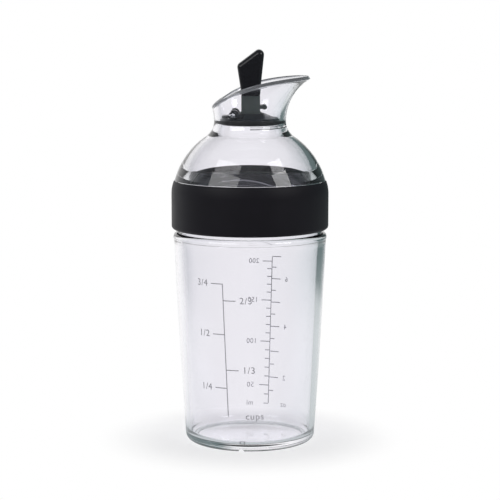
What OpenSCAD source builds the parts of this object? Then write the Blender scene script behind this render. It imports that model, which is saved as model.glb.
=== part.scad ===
// Salad dressing shaker: a clear tapered cup, a clear screw-on dome with a slanted
// pouring spout, a soft black grip band and a hinged black stopper with a thumb lever.
// Millimetres. Origin at the centre of the foot, +Z up, +X towards the spout.

/* [Cup] */
// Height of the cup's shoulder, which the collar stops over
shoulder_h = 92.6; // [70:0.1:130]
// Height of the threaded neck above the shoulder
neck_h = 18.0; // [14:0.1:24]
// Outer radius of the cup just above the rounded base
base_r = 28.5; // [27:0.1:30]
// Outer radius of the cup at the top of its tapered wall
top_r = 33.4; // [32:0.1:36]
// How far the tapered wall bows outward at mid height
wall_bow = 0.35; // [0:0.05:0.8]
// Wall thickness at the bottom of the cup
wall_low = 2.2; // [1.6:0.1:2.8]
// Wall thickness under the shoulder
wall_high = 3.4; // [3:0.1:3.8]
// Height of the inside floor above the table
floor_h = 3.0; // [2:0.1:5]
// Rounding of the outside bottom edge
base_round = 3.0; // [1.5:0.1:4]
// Rounding of the inside bottom edge
floor_round = 3.0; // [1:0.1:5]
// Depth of the shallow recess under the foot
foot_recess = 0.7; // [0.3:0.1:1.2]
// Width of the ring that the cup stands on
foot_ring_w = 2.6; // [1.5:0.1:4]
// Radius of the round drain slot across the foot ring
drain_r = 1.3; // [0.8:0.1:1.6]
// Direction of the drain slot round the axis, from the spout
drain_angle = -98; // [-180:1:180]
// Half height of the rounded bead under the shoulder
bead_half = 2.0; // [1.2:0.1:2.6]
// How far the bead stands out of the tapered wall
bead_stand = 0.25; // [0.1:0.05:0.6]
// Wall thickness of the threaded neck
neck_wall = 1.4; // [1.2:0.1:1.8]

/* [Collar] */
// Gap between the cup's shoulder and the collar
collar_gap = 1.4; // [0.6:0.1:2.5]
// Height of the hook by which the band grips the clear shoulder
band_hook_h = 1.6; // [1:0.1:2.5]
// Radial room for the two threads between neck and skirt
thread_gap = 0.8; // [0.5:0.1:1.2]
// Wall thickness of the clear skirt
skirt_wall = 1.0; // [0.9:0.1:1.4]
// Thickness of the grip band
band_wall = 1.2; // [0.9:0.1:1.8]
// Height of the band's bottom lip under the skirt
band_lip_h = 0.6; // [0.4:0.1:1]
// How far the band's bottom lip reaches inward under the skirt
band_lip_in = 0.8; // [0.4:0.1:0.9]
// Depth of that hook
hook_depth = 0.9; // [0.5:0.1:1.1]
// How much the band draws in towards its top edge
band_crown = 1.1; // [0.6:0.1:1.5]
// Height over which the band draws in
crown_h = 5.7; // [4:0.1:8]
// Rounding of the band's bottom edge
band_round = 1.5; // [0.8:0.1:1.7]
// Step from the band's top edge in to the dome
dome_step = 0.25; // [0.1:0.05:0.5]

/* [Gasket] */
// Thickness of the gasket on the cup's rim
gasket_t = 1.4; // [1:0.1:2]
// Running gap above and below the gasket
gasket_gap = 0.1; // [0.05:0.05:0.3]
// Radial gap on both sides of the gasket
gasket_side_gap = 0.2; // [0.1:0.05:0.3]
// Thickness of the clear flange over the gasket's edge
flange_t = 1.4; // [1:0.1:1.6]

/* [Dome and spout] */
// Gap between the lid's inner sleeve and the cup's neck
sleeve_gap = 0.4; // [0.3:0.05:0.6]
// Thickness of the lid's inner sleeve
sleeve_wall = 2.3; // [1.5:0.1:2.8]
// How far the inner sleeve reaches down into the neck
sleeve_depth = 4.2; // [2:0.1:6]
// Depth of the dome's centre below the collar's top edge
dome_drop = 9.2; // [7:0.1:12]
// Wall thickness of the dome at its centre height
dome_wall = 5.7; // [5.3:0.1:6.1]
// How much the dome's wall thins towards the neck
dome_thinning = 4.6; // [4:0.1:5]
// Radius of the bore that the stopper closes
bore_r = 13.2; // [12.6:0.1:14]
// Wall thickness of the neck at its narrowest
throat_wall = 2.5; // [2.2:0.1:3]
// Rounding between dome and neck
neck_round = 8.0; // [6:0.1:10]
// Radius of the trumpet's flare
flare_r = 21.2; // [20.4:0.1:23]
// Angle through which the trumpet turns before it is cut
flare_turn = 80; // [74:1:84]
// Wall thickness at the trumpet's lip
lip_wall = 1.3; // [1:0.1:1.8]
// Reach of the pouring tip from the centre line
tip_reach = 27.6; // [25:0.1:29]
// Height of the pouring tip above the throat
tip_rise = 19.1; // [18:0.1:19.3]
// Height of the low back of the rim above the throat
back_rise = 3.6; // [3.2:0.1:5]
// Clearance of the rim's back end outside the throat
back_out = 1.3; // [1:0.1:2]
// Steepness of the rim at its back end
rim_back_pull = [1.4, 6.0]; // [0:0.1:10]
// Flatness of the rim at its pouring end
rim_tip_pull = [31.1, 1.6]; // [0:0.1:40]

/* [Stopper] */
// Depth of the plug's underside below the throat
plug_drop = 1.8; // [1.5:0.1:2.2]
// Gap between the plug and the bore
plug_gap = 0.8; // [0.6:0.1:1]
// Running gap between the silicone seal and the bore
seal_gap = 0.1; // [0.05:0.01:0.15]
// Height of the seal and of its groove
seal_h = 1.6; // [1.4:0.1:1.8]
// Depth of the seal's groove in the plug
groove_depth = 1.1; // [0.8:0.1:1.6]
// Thickness of the plug's flange under the seal
flange_low = 0.7; // [0.6:0.1:1]
// Thickness of the plug's flange over the seal
flange_high = 0.9; // [0.8:0.1:1.2]
// Radius of the hollow under the plug
hollow_r = 9.0; // [7:0.1:9.5]
// Depth of the hollow under the plug
hollow_depth = 1.8; // [1:0.1:2]
// Radius of the hub's top
hub_r = 6.0; // [5.6:0.1:6.4]
// Radius of the hub's sloping base
hub_base_r = 10.8; // [10:0.1:11.4]
// Height of the hub over the plug's deck
hub_h = 2.2; // [1.8:0.1:2.6]
// Height of the raised tail behind the hinge
tail_h = 1.0; // [0.6:0.1:1.4]
// Width of the raised tail
tail_w = 7.0; // [5:0.1:8]
// Width of the half-round ledge that the plug's front rests on
ledge_w = 1.2; // [1:0.1:1.6]
// Thickness of that ledge
ledge_t = 1.4; // [1:0.1:1.8]
// Gap between the ledge and the closed plug
ledge_gap = 0.25; // [0.2:0.05:0.4]

/* [Hinge] */
// Distance of the hinge pin behind the centre line
hinge_back = 6.8; // [6.6:0.1:7.2]
// Height of the hinge pin over the plug's deck
hinge_rise = 1.7; // [1.6:0.1:2]
// Radius of the hinge pin
pin_r = 1.05; // [0.9:0.05:1.2]
// Half length of the hinge pin
pin_half = 11.0; // [10.6:0.1:11.2]
// Running clearance of the snap hooks on the pin
pin_clear = 0.05; // [0.02:0.01:0.1]
// Radius of the clear ears that hold the pin
ear_r = 1.9; // [1.7:0.05:2]
// Half distance between the clear ears
ear_half = 8.4; // [8:0.1:8.8]
// Outer radius of the snap hooks
hook_r = 2.25; // [2:0.05:2.4]
// Width of each snap hook
hook_w = 3.6; // [2.5:0.1:4.5]
// Side gap between a snap hook and its ear
hook_gap = 0.4; // [0.3:0.05:0.6]
// Mouth of a snap hook, a little narrower than the pin
mouth_w = 1.75; // [1.4:0.05:1.9]
// Direction of the mouth, from the spout side
mouth_angle = 150; // [140:1:165]

/* [Lever] */
// Height of the lever over the hub
lever_h = 27.4; // [24:0.1:32]
// Front to back thickness of the lever's shaft
shaft_t = 8.0; // [7.4:0.1:8.6]
// Width of the lever's shaft
shaft_w = 11.0; // [8:0.1:12]
// Place of the shaft ahead of the centre line
shaft_x = 0.3; // [-0.3:0.1:0.6]
// Height of the bare shaft under the thumb grip
shaft_h = 8.0; // [7:0.1:10]
// Rounding of the shaft's upright edges
shaft_round = 1.8; // [1:0.1:2.4]
// Flare at the foot of the shaft
foot_flare = 1.2; // [0.6:0.1:1.4]
// Front to back thickness of the blade inside the grip
blade_t = 4.4; // [3:0.1:5]
// Width of the blade inside the grip
blade_w = 7.0; // [5:0.1:7.4]
// Height of the blade inside the grip
blade_h = 10.0; // [6:0.1:11]
// Depth of the peg that holds the lever in the hub
peg_depth = 2.0; // [1:0.1:2.4]
// Side gap round the peg and the blade
fit_gap = 0.05; // [0.02:0.01:0.1]
// Radius of the toe bar at the front of the foot
toe_r = 1.1; // [0.8:0.1:1.3]
// Distance of the toe bar ahead of the shaft's centre
toe_reach = 5.9; // [5.6:0.1:6.2]
// Height of the toe bar over the hub
toe_rise = 2.8; // [2.4:0.1:3.4]
// Length of the toe bar
toe_w = 8.0; // [5:0.1:9]

/* [Thumb grip] */
// Reach of the grip's back corner behind the shaft's centre
grip_back = 5.8; // [5:0.1:6.4]
// Reach of the grip's front top ahead of the shaft's centre
grip_front = 5.8; // [5:0.1:6.4]
// Drop of the slanted top from front to back
grip_slant = 5.5; // [3:0.1:7]
// Rounding of the grip's back corner
grip_back_round = 2.0; // [1.5:0.1:2.6]
// Rounding of the grip's front top
grip_front_round = 2.2; // [1.5:0.1:2.8]
// Width of the grip at its top
grip_w = 13.0; // [12:0.1:14]

/* [Hidden] */
$fn = 96;

// Small overlap that joins touching shapes of one piece
join = 0.4;
// Steps of the curved outlines
wall_steps = 8;
curve_steps = 12;
rim_steps = 18;

clear_plastic = [0.86, 0.88, 0.92, 0.45];
soft_black = [0.10, 0.10, 0.11];
hard_black = [0.15, 0.15, 0.16];
silicone_black = [0.07, 0.07, 0.08];
gasket_white = [0.85, 0.86, 0.88];
steel = [0.75, 0.76, 0.78];

// Cup height, then the cup and collar radii from the inside outward
cup_h = shoulder_h + neck_h;
neck_in_r = top_r - wall_high;
neck_r = neck_in_r + neck_wall;
skirt_in_r = neck_r + thread_gap;
skirt_r = skirt_in_r + skirt_wall;
band_r = skirt_r + band_wall;
band_top_r = band_r - band_crown;
hook_in_r = skirt_r - hook_depth;
sleeve_r = neck_in_r - sleeve_gap;
lid_in_r = sleeve_r - sleeve_wall;

// Collar heights
collar_z0 = shoulder_h + collar_gap;
skirt_z0 = collar_z0 + band_lip_h;
gasket_z = cup_h + gasket_gap;
seat_z = gasket_z + gasket_t + gasket_gap;
hook_z = seat_z + flange_t;
collar_z1 = hook_z + band_hook_h;

// Dome, throat and trumpet
dome_edge_r = band_top_r - dome_step;
dome_z = collar_z1 - dome_drop;
dome_r = norm([dome_edge_r, dome_drop]);
cavity_r = dome_r - dome_wall;
cavity_z = dome_z + dome_thinning;
throat_r = bore_r + throat_wall;
throat_z = dome_z + sqrt(pow(dome_r + neck_round, 2) - pow(throat_r + neck_round, 2));
neck_tilt = atan2(throat_z - dome_z, throat_r + neck_round);

// Stopper heights
plug_z = throat_z - plug_drop;
seal_z = plug_z + flange_low;
deck_z = seal_z + seal_h + flange_high;
hub_z = deck_z + hub_h;
hinge_z = deck_z + hinge_rise;
plug_r = bore_r - plug_gap;
groove_r = plug_r - groove_depth;
seal_r = bore_r - seal_gap;
lever_top = hub_z + lever_h;
grip_z = hub_z + shaft_h;

// Points of an arc, from one angle to another
function arc(c, r, a0, a1, n) =
    [for (i = [0 : n]) let (a = a0 + (a1 - a0) * i / n) c + r * [cos(a), sin(a)]];

// Outer radius of the tapered wall at height z
function wall_r(z) =
    let (t = (z - base_round) / (shoulder_h - bead_half - base_round))
    base_r + (top_r - base_r) * t + wall_bow * 4 * t * (1 - t);

// A point of the curve that the spout's rim follows
function rim_point(t, p0, p1, p2, p3) =
    pow(1 - t, 3) * p0 + 3 * t * pow(1 - t, 2) * p1
    + 3 * pow(t, 2) * (1 - t) * p2 + pow(t, 3) * p3;

// Moves its children to the hinge's axis, which runs along Y
module at_hinge() {
    translate([-hinge_back, 0, hinge_z])
        rotate([90, 0, 0])
            children();
}

// Clear tumbler: rounded thick base, tapered wall, bead, shoulder and neck
module cup() {
    bead_r = top_r + bead_stand - bead_half;
    bead_z = shoulder_h - bead_half;
    foot_r = base_r - base_round;
    recess_r = foot_r - foot_ring_w;
    floor_in_r = base_r - wall_low;
    color(clear_plastic)
        difference() {
            union() {
                rotate_extrude()
                    polygon(concat(
                        [[0, foot_recess], [recess_r, foot_recess], [recess_r + foot_recess, 0]],
                        arc([foot_r, base_round], base_round, -90, 0, curve_steps),
                        [for (i = [1 : wall_steps])
                            let (z = base_round + (bead_z - base_round) * i / wall_steps)
                            [wall_r(z), z]],
                        [
                            [bead_r, bead_z],
                            [bead_r, shoulder_h],
                            [neck_r, shoulder_h],
                            [neck_r, cup_h],
                            [neck_in_r, cup_h],
                            [neck_in_r, shoulder_h]
                        ],
                        arc([floor_in_r - floor_round, floor_h + floor_round], floor_round,
                            0, -90, curve_steps),
                        [[0, floor_h]]
                    ));
                rotate_extrude()
                    translate([bead_r, bead_z])
                        circle(r = bead_half);
            }
            // The slot lets water run out from under the foot.
            rotate([0, 0, drain_angle])
                translate([recess_r - drain_r, 0, 0])
                    rotate([0, 90, 0])
                        cylinder(h = base_r - recess_r + drain_r, r = drain_r);
        }
}

// Silicone ring that seals the cup's rim against the lid
module lid_gasket() {
    color(gasket_white)
        translate([0, 0, gasket_z])
            difference() {
                cylinder(h = gasket_t, r = skirt_in_r - gasket_side_gap);
                translate([0, 0, -join])
                    cylinder(h = gasket_t + 2 * join, r = sleeve_r + gasket_side_gap);
            }
}

// Outline of the clear lid before the spout's rim is cut
module lid_outline() {
    flare_c = [throat_r + flare_r, throat_z];
    polygon(concat(
        [
            [skirt_in_r, skirt_z0],
            [skirt_r, skirt_z0],
            [skirt_r, hook_z],
            [hook_in_r, hook_z],
            [hook_in_r, collar_z1]
        ],
        arc([0, dome_z], dome_r, atan2(dome_drop, dome_edge_r), neck_tilt, curve_steps),
        arc([throat_r + neck_round, throat_z], neck_round, 180 + neck_tilt, 180, curve_steps),
        [for (i = [1 : curve_steps])
            let (a = flare_turn * i / curve_steps)
            flare_c + flare_r * [-cos(a), sin(a)]],
        [for (i = [curve_steps : -1 : 0])
            let (a = flare_turn * i / curve_steps)
            let (wall = throat_wall + (lip_wall - throat_wall) * i / curve_steps)
            flare_c + (flare_r + wall) * [-cos(a), sin(a)]],
        arc([0, cavity_z], cavity_r, acos(bore_r / cavity_r), acos(lid_in_r / cavity_r),
            curve_steps),
        [
            [lid_in_r, cup_h - sleeve_depth],
            [sleeve_r, cup_h - sleeve_depth],
            [sleeve_r, seat_z],
            [skirt_in_r, seat_z]
        ]
    ));
}

// Everything above the spout's slanted, bowed rim
module rim_cutter() {
    back = [-throat_r - back_out, throat_z + back_rise];
    tip = [tip_reach, throat_z + tip_rise];
    side = 2 * (throat_r + flare_r);
    rotate([90, 0, 0])
        linear_extrude(height = 2 * side, center = true)
            polygon(concat(
                [for (i = [0 : rim_steps])
                    rim_point(i / rim_steps, back, back + rim_back_pull, tip - rim_tip_pull, tip)],
                [
                    [side, tip[1]],
                    [side, tip[1] + side],
                    [-side, tip[1] + side],
                    [-side, back[1]]
                ]
            ));
}

// Clear lid in one moulding: skirt, shoulder, dome, neck, slanted spout and hinge ears
module spout_dome() {
    ledge_top = plug_z - ledge_gap;
    color(clear_plastic)
        difference() {
            union() {
                difference() {
                    rotate_extrude()
                        lid_outline();
                    rim_cutter();
                }
                intersection() {
                    at_hinge()
                        cylinder(h = 2 * throat_r, r = ear_r, center = true);
                    difference() {
                        translate([0, 0, plug_z])
                            cylinder(h = 2 * neck_round, r = throat_r - throat_wall / 2);
                        cube([2 * throat_r, 2 * ear_half, 4 * throat_z], center = true);
                    }
                }
                intersection() {
                    translate([0, 0, ledge_top - ledge_t])
                        difference() {
                            cylinder(h = ledge_t, r = bore_r + join);
                            translate([0, 0, -join])
                                cylinder(h = ledge_t + 2 * join, r = bore_r - ledge_w);
                        }
                    translate([throat_r, 0, ledge_top])
                        cube([2 * throat_r, 2 * throat_r, 4 * ledge_t], center = true);
                }
            }
            at_hinge()
                cylinder(h = 2 * (pin_half + fit_gap), r = pin_r + fit_gap, center = true);
        }
}

// Soft grip band round the skirt, hooked over its top and bottom edges
module grip_band() {
    crown_r = (pow(crown_h, 2) + pow(band_crown, 2)) / (2 * band_crown);
    crown_turn = asin(crown_h / crown_r);
    color(soft_black)
        rotate_extrude()
            polygon(concat(
                [[skirt_r - band_lip_in, collar_z0]],
                arc([band_r - band_round, collar_z0 + band_round], band_round,
                    -90, 0, curve_steps),
                arc([band_r - crown_r, collar_z1 - crown_h], crown_r, 0, crown_turn, curve_steps),
                [
                    [hook_in_r, collar_z1],
                    [hook_in_r, hook_z],
                    [skirt_r, hook_z],
                    [skirt_r, skirt_z0],
                    [skirt_r - band_lip_in, skirt_z0]
                ]
            ));
}

// Steel pin that the stopper's hooks turn on
module hinge_pin() {
    color(steel)
        at_hinge()
            cylinder(h = 2 * pin_half, r = pin_r, center = true);
}

// One snap hook, open at its back so that the stopper pulls off the pin
module snap_hook() {
    translate([0, 0, ear_half - hook_gap - hook_w])
        linear_extrude(height = hook_w)
            difference() {
                union() {
                    circle(r = hook_r);
                    translate([0, -hinge_rise])
                        square([hinge_back - hub_r / 2, hub_h]);
                }
                circle(r = pin_r + pin_clear);
                rotate(mouth_angle)
                    translate([0, -mouth_w / 2])
                        square([2 * hook_r, mouth_w]);
            }
}

// Hard black plug: grooved disc, sloping hub, hinge hooks and raised tail
module stopper_plug() {
    color(hard_black)
        difference() {
            union() {
                difference() {
                    rotate_extrude()
                        polygon([
                            [0, plug_z + hollow_depth],
                            [hollow_r, plug_z + hollow_depth],
                            [hollow_r, plug_z],
                            [plug_r, plug_z],
                            [plug_r, seal_z],
                            [groove_r, seal_z],
                            [groove_r, seal_z + seal_h],
                            [plug_r, seal_z + seal_h],
                            [plug_r, deck_z],
                            [hub_base_r, deck_z],
                            [hub_r, hub_z],
                            [0, hub_z]
                        ]);
                    translate([-hub_base_r - hub_r / 2 - join, -plug_r, deck_z])
                        cube([hub_base_r + join, 2 * plug_r, 2 * hub_h]);
                    at_hinge()
                        for (side = [0, 1])
                            mirror([0, 0, side])
                                translate([0, 0, ear_half - hook_gap])
                                    cylinder(h = plug_r, r = ear_r + hook_gap);
                }
                at_hinge()
                    for (side = [0, 1])
                        mirror([0, 0, side])
                            snap_hook();
                intersection() {
                    translate([-plug_r, -tail_w / 2, deck_z - flange_high])
                        cube([plug_r - hinge_back - hook_r - hook_gap, tail_w, flange_high + tail_h]);
                    translate([0, 0, plug_z])
                        cylinder(h = 2 * hinge_z, r = plug_r);
                }
            }
            translate([shaft_x, 0, hub_z])
                cube([blade_t + 2 * fit_gap, blade_w + 2 * fit_gap, 2 * (peg_depth + fit_gap)],
                    center = true);
        }
}

// Silicone ring in the plug's groove, with a rounded sealing edge
module plug_seal() {
    bulge_r = seal_h / 2;
    color(silicone_black)
        rotate_extrude()
            translate([0, seal_z + bulge_r]) {
                translate([groove_r, -bulge_r])
                    square([seal_r - bulge_r - groove_r, seal_h]);
                translate([seal_r - bulge_r, 0])
                    circle(r = bulge_r);
            }
}

// Outline of the shaft from the side, with its flared foot
module shaft_side() {
    half = shaft_t / 2;
    polygon(concat(
        arc([half + foot_flare, foot_flare], foot_flare, -90, -180, curve_steps),
        [[half, shaft_h], [-half, shaft_h]],
        arc([-half - foot_flare, foot_flare], foot_flare, 0, -90, curve_steps)
    ));
}

// A rectangle with rounded corners, centred
module rounded_plate(x, y, r) {
    union() {
        square([x - 2 * r, y], center = true);
        square([x, y - 2 * r], center = true);
        for (sx = [-1, 1], sy = [-1, 1])
            translate([sx * (x / 2 - r), sy * (y / 2 - r)])
                circle(r = r);
    }
}

// Hard black lever: peg, flared shaft, toe bar and the blade inside the grip.
// The flare's back edge is cut away round the snap hooks.
module lever() {
    color(hard_black)
        difference() {
            translate([shaft_x, 0, hub_z]) {
                intersection() {
                    rotate([90, 0, 0])
                        linear_extrude(height = shaft_w, center = true)
                            shaft_side();
                    linear_extrude(height = shaft_h)
                        rounded_plate(shaft_t + 2 * foot_flare, shaft_w, shaft_round);
                }
                translate([0, 0, (shaft_h + blade_h - peg_depth) / 2])
                    cube([blade_t, blade_w, shaft_h + blade_h + peg_depth], center = true);
                translate([toe_reach, 0, toe_rise])
                    rotate([90, 0, 0])
                        cylinder(h = toe_w, r = toe_r, center = true);
                translate([0, -toe_w / 2, toe_rise - toe_r / 2])
                    cube([toe_reach, toe_w, toe_r]);
            }
            at_hinge()
                cylinder(h = 2 * ear_half, r = hook_r + fit_gap, center = true);
        }
}

// Soft thumb grip moulded over the blade, with a slanted rounded top
module thumb_grip() {
    corner = shaft_round;
    back_x = grip_back_round - grip_back;
    back_z = lever_h - grip_slant - grip_back_round;
    front_x = grip_front - grip_front_round;
    front_z = lever_h - grip_front_round;
    color(soft_black)
        translate([shaft_x, 0, hub_z])
            difference() {
                hull() {
                    for (sx = [-1, 1], sy = [-1, 1])
                        translate([
                            sx * (shaft_t / 2 - corner),
                            sy * (shaft_w / 2 - corner),
                            shaft_h
                        ])
                            cylinder(h = join, r = corner, $fn = 32);
                    for (sy = [-1, 1]) {
                        translate([back_x, sy * (grip_w / 2 - grip_back_round), back_z])
                            sphere(r = grip_back_round, $fn = 32);
                        translate([front_x, sy * (grip_w / 2 - grip_front_round), front_z])
                            sphere(r = grip_front_round, $fn = 32);
                    }
                }
                translate([0, 0, shaft_h + blade_h / 2])
                    cube([
                        blade_t + 2 * fit_gap,
                        blade_w + 2 * fit_gap,
                        blade_h + 2 * fit_gap
                    ], center = true);
            }
}

cup();
lid_gasket();
spout_dome();
grip_band();
hinge_pin();
stopper_plug();
plug_seal();
lever();
thumb_grip();
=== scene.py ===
from math import acos, asin, atan2, cos, degrees, hypot, pi, radians, sin, sqrt

import bmesh
import bpy
from mathutils import Matrix, Vector


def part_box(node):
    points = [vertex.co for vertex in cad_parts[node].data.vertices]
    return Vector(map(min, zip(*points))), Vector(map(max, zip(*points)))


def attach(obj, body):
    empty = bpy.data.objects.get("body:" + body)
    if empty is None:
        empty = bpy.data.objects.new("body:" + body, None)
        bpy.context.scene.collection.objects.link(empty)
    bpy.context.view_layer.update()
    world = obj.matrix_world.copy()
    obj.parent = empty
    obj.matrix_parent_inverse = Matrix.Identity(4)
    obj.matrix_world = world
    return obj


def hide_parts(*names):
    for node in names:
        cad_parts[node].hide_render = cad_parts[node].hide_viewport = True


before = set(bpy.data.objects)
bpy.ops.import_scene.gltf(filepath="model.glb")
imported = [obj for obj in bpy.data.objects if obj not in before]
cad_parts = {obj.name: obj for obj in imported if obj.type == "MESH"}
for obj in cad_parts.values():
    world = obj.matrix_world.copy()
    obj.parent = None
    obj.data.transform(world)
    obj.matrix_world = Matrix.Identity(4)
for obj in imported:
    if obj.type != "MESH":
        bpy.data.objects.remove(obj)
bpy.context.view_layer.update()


# Cup: a clear tumbler, injection moulded in copolyester in one shot, with a thick rounded
# foot, a bead under its shoulder and a plain neck for the lid. Its outline is spun round
# the bottle's axis. Sizes are in millimetres, and mm turns them into the scene's metres.
mm = 0.001
turn_steps = 192
merge_dist = 1e-7

base_r = 28.5
top_r = 33.4
wall_bow = 0.35
wall_low = 2.2
wall_high = 3.4
floor_h = 3.0
base_round = 3.0
floor_round = 3.0
foot_recess = 0.7
foot_ring_w = 2.6
drain_r = 1.3
drain_angle = -98
shoulder_h = 92.6
bead_half = 2.0
bead_stand = 0.25
bead_from = -28
neck_wall = 1.4
rim_round = 0.4
wall_steps = 24

cup_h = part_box("cup")[1].z / mm
neck_in_r = top_r - wall_high
neck_r = neck_in_r + neck_wall
bead_r = top_r + bead_stand - bead_half
bead_z = shoulder_h - bead_half
foot_r = base_r - base_round


def arc(centre, radius, start, end, steps):
    """Points of an arc in an outline, from one angle in degrees to another."""
    angles = [radians(start + (end - start) * i / steps) for i in range(steps + 1)]
    return [(centre[0] + radius * cos(a), centre[1] + radius * sin(a)) for a in angles]


def wall_r(z):
    """Outer radius of the cup's tapered, slightly bowed wall at height z."""
    t = (z - base_round) / (bead_z - base_round)
    return base_r + (top_r - base_r) * t + wall_bow * 4 * t * (1 - t)


def spin_outline(outline, closed):
    """A solid of revolution round the bottle's axis from an outline of (radius, height) points."""
    bm = bmesh.new()
    chain = [bm.verts.new((r * mm, 0, z * mm)) for r, z in outline]
    edges = [bm.edges.new(pair) for pair in zip(chain, chain[1:])]
    if closed:
        edges.append(bm.edges.new((chain[-1], chain[0])))
    bmesh.ops.spin(bm, geom=chain + edges, cent=(0, 0, 0), axis=(0, 0, 1), dvec=(0, 0, 0),
                   angle=2 * pi, steps=turn_steps, use_merge=True)
    bmesh.ops.remove_doubles(bm, verts=bm.verts, dist=merge_dist)
    bmesh.ops.recalc_face_normals(bm, faces=bm.faces)
    return bm


def carve(bm, others, operation):
    """The bmesh after one exact Boolean operation with each of some other solids."""
    body = make_piece("body", bm)
    for other in others:
        cutter = make_piece("cutter", other)
        step = body.modifiers.new("carve", "BOOLEAN")
        step.operation = operation
        step.solver = "EXACT"
        step.object = cutter
    made = bmesh.new()
    made.from_object(body, bpy.context.evaluated_depsgraph_get())
    for piece in [body] + [step.object for step in body.modifiers]:
        old = piece.data
        bpy.data.objects.remove(piece)
        bpy.data.meshes.remove(old)
    return made


def rod(radius, start, end, segments=32):
    """A solid cylinder between two points."""
    along = Vector(end) - Vector(start)
    bm = bmesh.new()
    bmesh.ops.create_cone(bm, cap_ends=True, segments=segments, radius1=radius * mm,
                          radius2=radius * mm, depth=along.length * mm)
    turn = along.to_track_quat("Z", "Y").to_matrix().to_4x4()
    middle = Matrix.Translation((Vector(start) + Vector(end)) / 2 * mm)
    bmesh.ops.transform(bm, matrix=middle @ turn, verts=bm.verts)
    return bm


def make_piece(name, bm, finish=None, sharp_angle=35):
    """Turns a bmesh into a piece at the origin, smooth apart from edges sharper than the angle."""
    for face in bm.faces:
        face.smooth = True
    for edge in bm.edges:
        edge.smooth = edge.calc_face_angle(0) < radians(sharp_angle)
    mesh = bpy.data.meshes.new(name)
    bm.to_mesh(mesh)
    bm.free()
    piece = bpy.data.objects.new(name, mesh)
    bpy.context.collection.objects.link(piece)
    if finish:
        mesh.materials.append(finish)
    return piece


def colour(code):
    """Linear colour of an sRGB hex value."""
    parts = [int(code[i:i + 2], 16) / 255 for i in (1, 3, 5)]
    return [p / 12.92 if p <= 0.04045 else ((p + 0.055) / 1.055) ** 2.4 for p in parts] + [1.0]


def per_mm(size):
    """Scale of a pattern in Object coordinates whose features are this many millimetres."""
    return 1 / (size * mm)


def add_node(tree, kind, sockets, **settings):
    """Adds a node: settings are its own, and sockets maps each input to a value or to an output."""
    node = tree.nodes.new(kind)
    for key, value in settings.items():
        setattr(node, key, value)
    for key, value in sockets.items():
        if isinstance(value, bpy.types.NodeSocket):
            tree.links.new(value, node.inputs[key])
        else:
            node.inputs[key].default_value = value
    return node


def new_finish(name):
    """An empty material and the coordinates that its patterns read."""
    finish = bpy.data.materials.new(name)
    finish.use_nodes = True
    finish.node_tree.nodes.clear()
    place = add_node(finish.node_tree, "ShaderNodeTexCoord", {}).outputs["Object"]
    return finish, finish.node_tree, place


def blend_colours(tree, factor, low, high):
    """A colour that a pattern moves between two hex values."""
    ramp = add_node(tree, "ShaderNodeValToRGB", {"Fac": factor})
    ramp.color_ramp.elements[0].color = colour(low)
    ramp.color_ramp.elements[1].color = colour(high)
    return ramp.outputs["Color"]


def surface(tree, sockets):
    """Ends a material with its shader."""
    shader = add_node(tree, "ShaderNodeBsdfPrincipled", sockets)
    add_node(tree, "ShaderNodeOutputMaterial", {"Surface": shader.outputs["BSDF"]})
    return shader


# Moulded clear copolyester, polished by its steel mould: almost colourless, with a faint
# cool cast in the flow of the melt and a slow waviness of the wall that bends reflections.
clear_plastic, tree, place = new_finish("moulded_clear_copolyester")
flow = add_node(tree, "ShaderNodeTexNoise", {"Vector": place, "Scale": per_mm(26), "Detail": 2.0})
tint = blend_colours(tree, flow.outputs["Fac"], "#fcfbff", "#fdfcff")
polish = add_node(tree, "ShaderNodeMapRange", {
    "Value": flow.outputs["Fac"], "To Min": 0.0, "To Max": 0.03})
waves = add_node(tree, "ShaderNodeTexNoise", {"Vector": place, "Scale": per_mm(9), "Detail": 1.0})
bump = add_node(tree, "ShaderNodeBump", {
    "Height": waves.outputs["Fac"], "Strength": 0.02, "Distance": 0.1 * mm})
surface(tree, {
    "Base Color": tint, "Roughness": polish.outputs["Result"], "IOR": 1.54,
    "Transmission Weight": 1.0, "Normal": bump.outputs["Normal"]})

floor_in_r = base_r - wall_low
wall_heights = [base_round + (bead_z - base_round) * i / wall_steps for i in range(1, wall_steps)]
cup_outline = (
    [(0, foot_recess), (foot_r - foot_ring_w, foot_recess)]
    + arc((foot_r - foot_ring_w + foot_recess, foot_recess), foot_recess, -180, -90, 6)[1:]
    + arc((foot_r, base_round), base_round, -90, 0, 14)
    + [(wall_r(z), z) for z in wall_heights]
    + arc((bead_r, bead_z), bead_half, bead_from, 90, 16)
    + [(neck_r, shoulder_h)]
    + arc((neck_r - rim_round, cup_h - rim_round), rim_round, 0, 90, 5)
    + arc((neck_in_r + rim_round, cup_h - rim_round), rim_round, 90, 180, 5)
    + [(neck_in_r, shoulder_h)]
    + arc((floor_in_r - floor_round, floor_h + floor_round), floor_round, 0, -90, 12)
    + [(0, floor_h)]
)
recess_r = foot_r - foot_ring_w
outward = Vector((cos(radians(drain_angle)), sin(radians(drain_angle)), 0))
drain = rod(drain_r, outward * (recess_r - drain_r), outward * base_r)
clear_cup = make_piece("clear_cup", carve(spin_outline(cup_outline, closed=False), [drain],
                                          "DIFFERENCE"), clear_plastic)
clear_cup.visible_shadow = False
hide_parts("cup")
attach(clear_cup, "cup")


# Screw threads: a two-start ridge on the cup's neck and another in the lid's skirt, moulded
# with each of them in the same clear plastic. The two pairs lie half a pitch apart in the
# gap between neck and skirt, so that they pass each other as the lid turns.
thread_lead = 9.0
thread_starts = 2
thread_turns = 0.9
ridge_h = 0.5
ridge_w = 1.5
ridge_clear = 0.01
ridge_least = 0.02
run_out = 0.06
neck_thread_z = 96.6
skirt_in_r = 32.2
thread_steps = 96


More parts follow.
